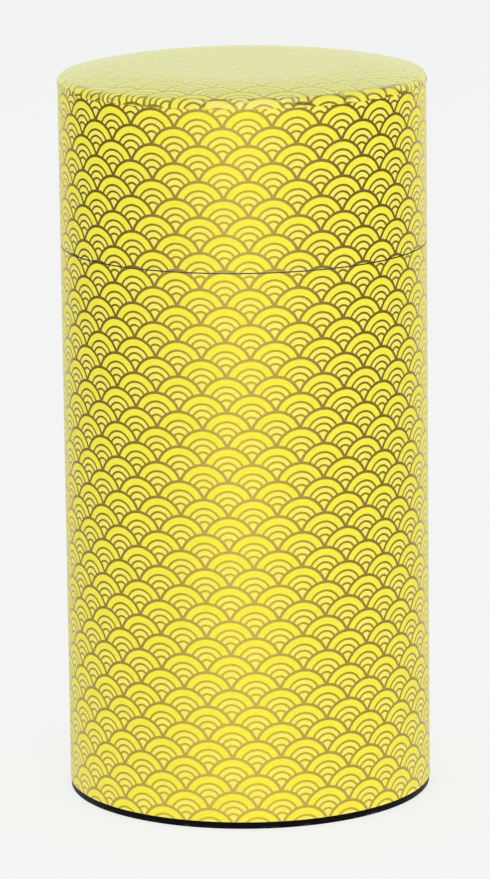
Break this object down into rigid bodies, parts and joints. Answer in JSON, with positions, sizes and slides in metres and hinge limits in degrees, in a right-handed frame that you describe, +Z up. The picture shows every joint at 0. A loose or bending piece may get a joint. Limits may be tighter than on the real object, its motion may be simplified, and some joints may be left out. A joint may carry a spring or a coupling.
{
  "type": "tea caddy",
  "caption": "Cylindrical tinplate tea caddy in wave-pattern paper, with a slip-on domed cap over a neck, a press-in inner lid with a knob, and a black foot ring.",
  "frame": {"origin": "middle of the foot, on the surface it stands on", "axes": "+Z up along the caddy's axis; -Y is the front, and the papers' lapped ends are at the back, +Y"},
  "size_m": [0.0784, 0.0784, 0.157],
  "materials": {
    "tin_wall": "bright tinplate",
    "tin_pressed": "bright pressed tinplate",
    "foot_enamel": "black enamel",
    "wave_paper": "printed paper with gold ink, satin",
    "top_paper": "printed paper with gold ink, satin",
    "knob_metal": "polished nickel",
    "rivet_metal": "satin"
  },
  "bodies": {
    "can": {"body_shell": "tin_wall", "neck_collar": "tin_pressed", "base_end": "foot_enamel", "body_paper": "wave_paper"},
    "cap": {"cap_shell": "tin_wall", "cap_top": "tin_pressed", "cap_side_paper": "wave_paper", "cap_top_paper": "top_paper"},
    "inner_lid_assembly": {"inner_lid": "tin_pressed", "knob_washer": "rivet_metal", "lid_knob": "knob_metal", "knob_rivet": "rivet_metal"}
  },
  "joints": [
    {"name": "cap_lift", "type": "slide", "parent": "can", "child": "cap", "axis": [0, 0, 1], "range_m": [0, 0.12]},
    {"name": "inner_lid_lift", "type": "slide", "parent": "can", "child": "inner_lid_assembly", "axis": [0, 0, 1], "range_m": [0, 0.06]}
  ],
  "couplings": [
    {"joint": "inner_lid_lift", "follows": "cap_lift", "ratio": 0.5}
  ]
}
